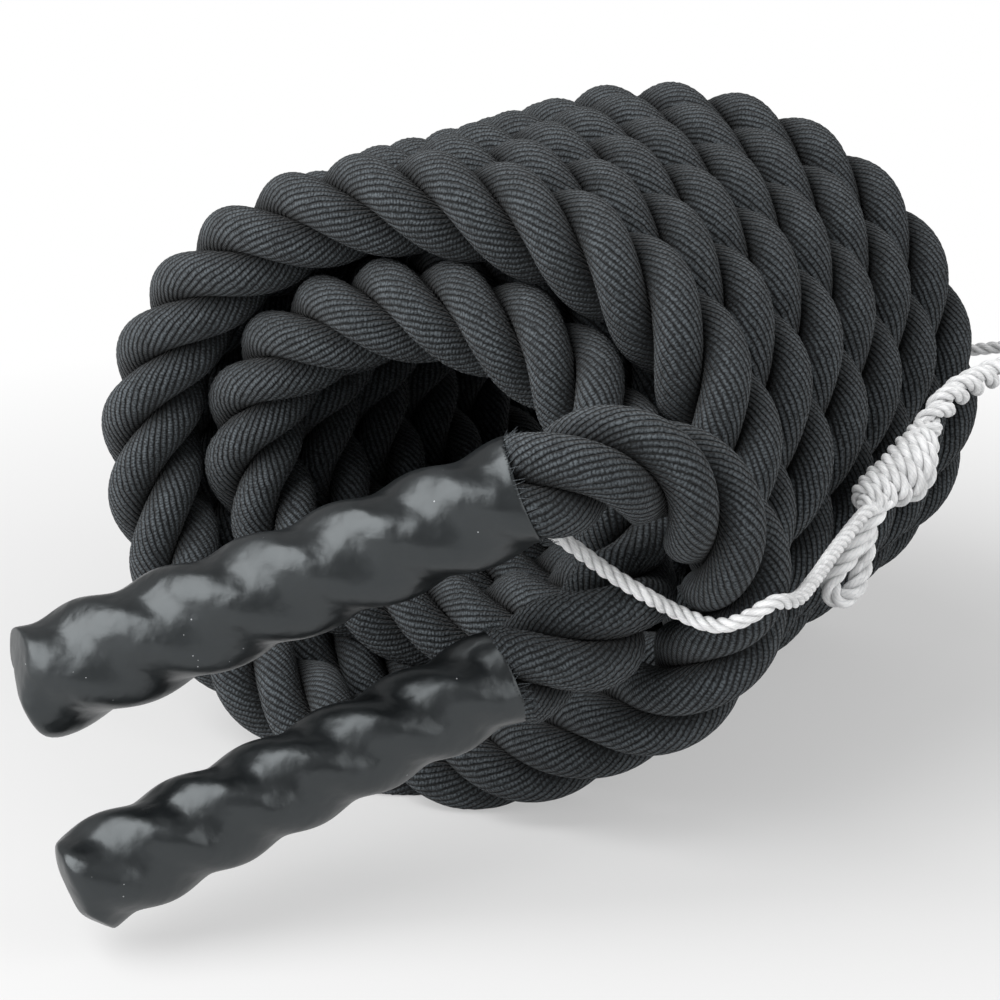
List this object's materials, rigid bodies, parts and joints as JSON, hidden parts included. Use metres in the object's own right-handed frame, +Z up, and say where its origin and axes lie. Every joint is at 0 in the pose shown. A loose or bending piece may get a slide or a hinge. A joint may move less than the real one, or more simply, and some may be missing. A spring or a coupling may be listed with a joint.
{
  "type": "battle rope",
  "caption": "Thick black laid training rope wound into a coil on its side, with glossy shrunk handle sleeves on its ends and a white tie cord knotted round the bundle.",
  "frame": {"origin": "on the floor, in the middle of the flat under the middle turn of the coil's outer layer", "axes": "+Z up; +Y along the coil's axis to its back; +X to the right, seen from the front, where the two handles point out to the lower left"},
  "size_m": [0.3136, 0.4877, 0.2389],
  "materials": {
    "rope_fibre": "matt black laid fibre with fine yarn ridges",
    "shrunk_sleeve": "glossy heat-shrunk film",
    "binding_tape": "satin tape",
    "tie_fibre": "matt white twisted fibre"
  },
  "bodies": {
    "root": {"rope_winding": "rope_fibre", "upper_rope_bend": "rope_fibre", "upper_end_strand_a": "rope_fibre", "upper_end_strand_b": "rope_fibre", "upper_end_strand_c": "rope_fibre", "upper_end_binding": "binding_tape", "upper_handle_sleeve": "shrunk_sleeve", "lower_end_strand_a": "rope_fibre", "lower_end_strand_b": "rope_fibre", "lower_end_strand_c": "rope_fibre", "lower_end_binding": "binding_tape", "lower_handle_sleeve": "shrunk_sleeve", "tie_cord": "tie_fibre", "tie_doubled": "tie_fibre", "tie_knot": "tie_fibre", "tie_tail": "tie_fibre"}
  },
  "joints": []
}
